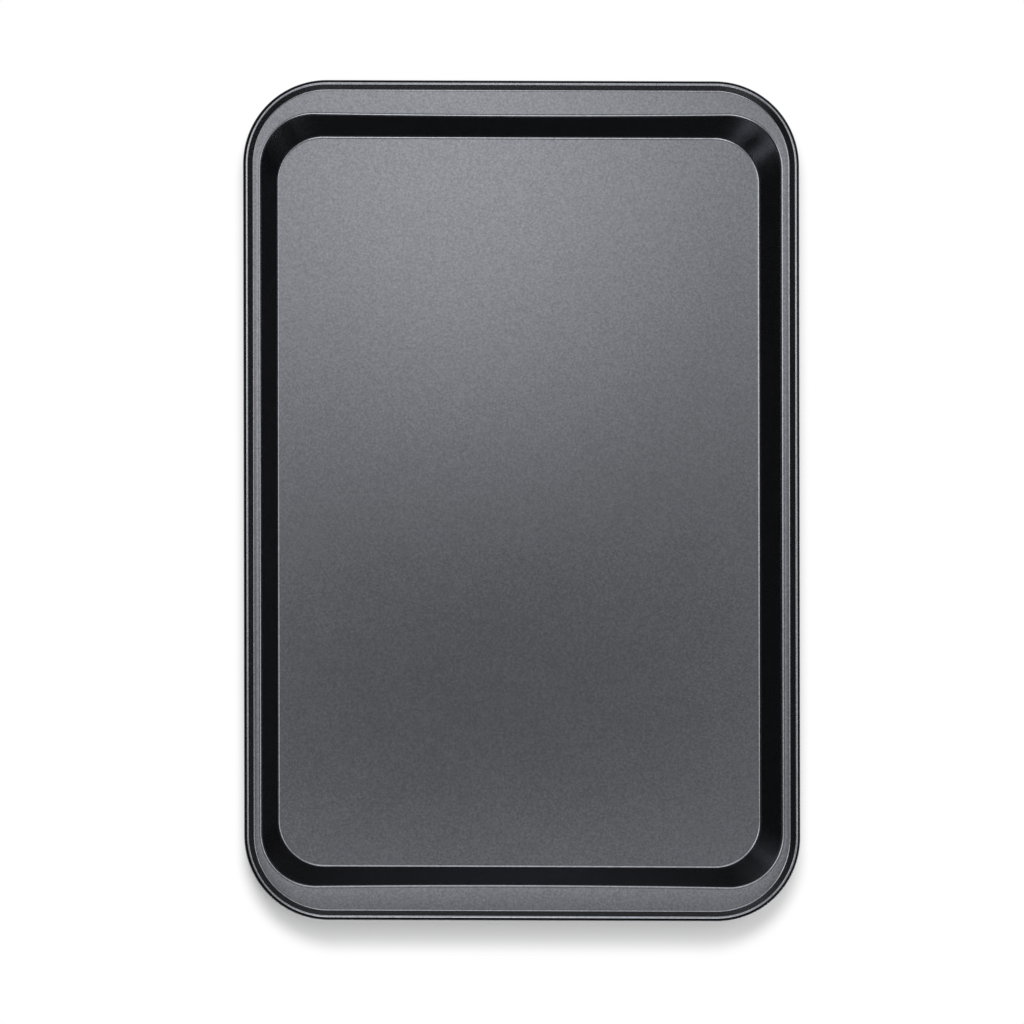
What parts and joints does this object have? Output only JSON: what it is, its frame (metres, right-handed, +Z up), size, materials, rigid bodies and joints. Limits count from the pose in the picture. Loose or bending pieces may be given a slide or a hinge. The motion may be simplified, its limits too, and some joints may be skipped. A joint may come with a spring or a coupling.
{
  "type": "cookie sheet",
  "caption": "Shallow rounded-rectangle baking sheet of coated steel with leaning walls, a flat flange, wider at the ends, and a rim rolled round a stiffening wire.",
  "frame": {"origin": "on the surface that the sheet stands on, below the middle of its outline", "axes": "+X across the sheet, +Y along its length, +Z up out of the tray"},
  "size_m": [0.255, 0.384, 0.0153],
  "materials": {
    "coated_steel": "dark grey non-stick coating, satin, with a very fine grain",
    "wire_steel": "bare drawn steel wire"
  },
  "bodies": {
    "root": {"pan": "coated_steel", "rim_wire": "wire_steel"}
  },
  "joints": []
}
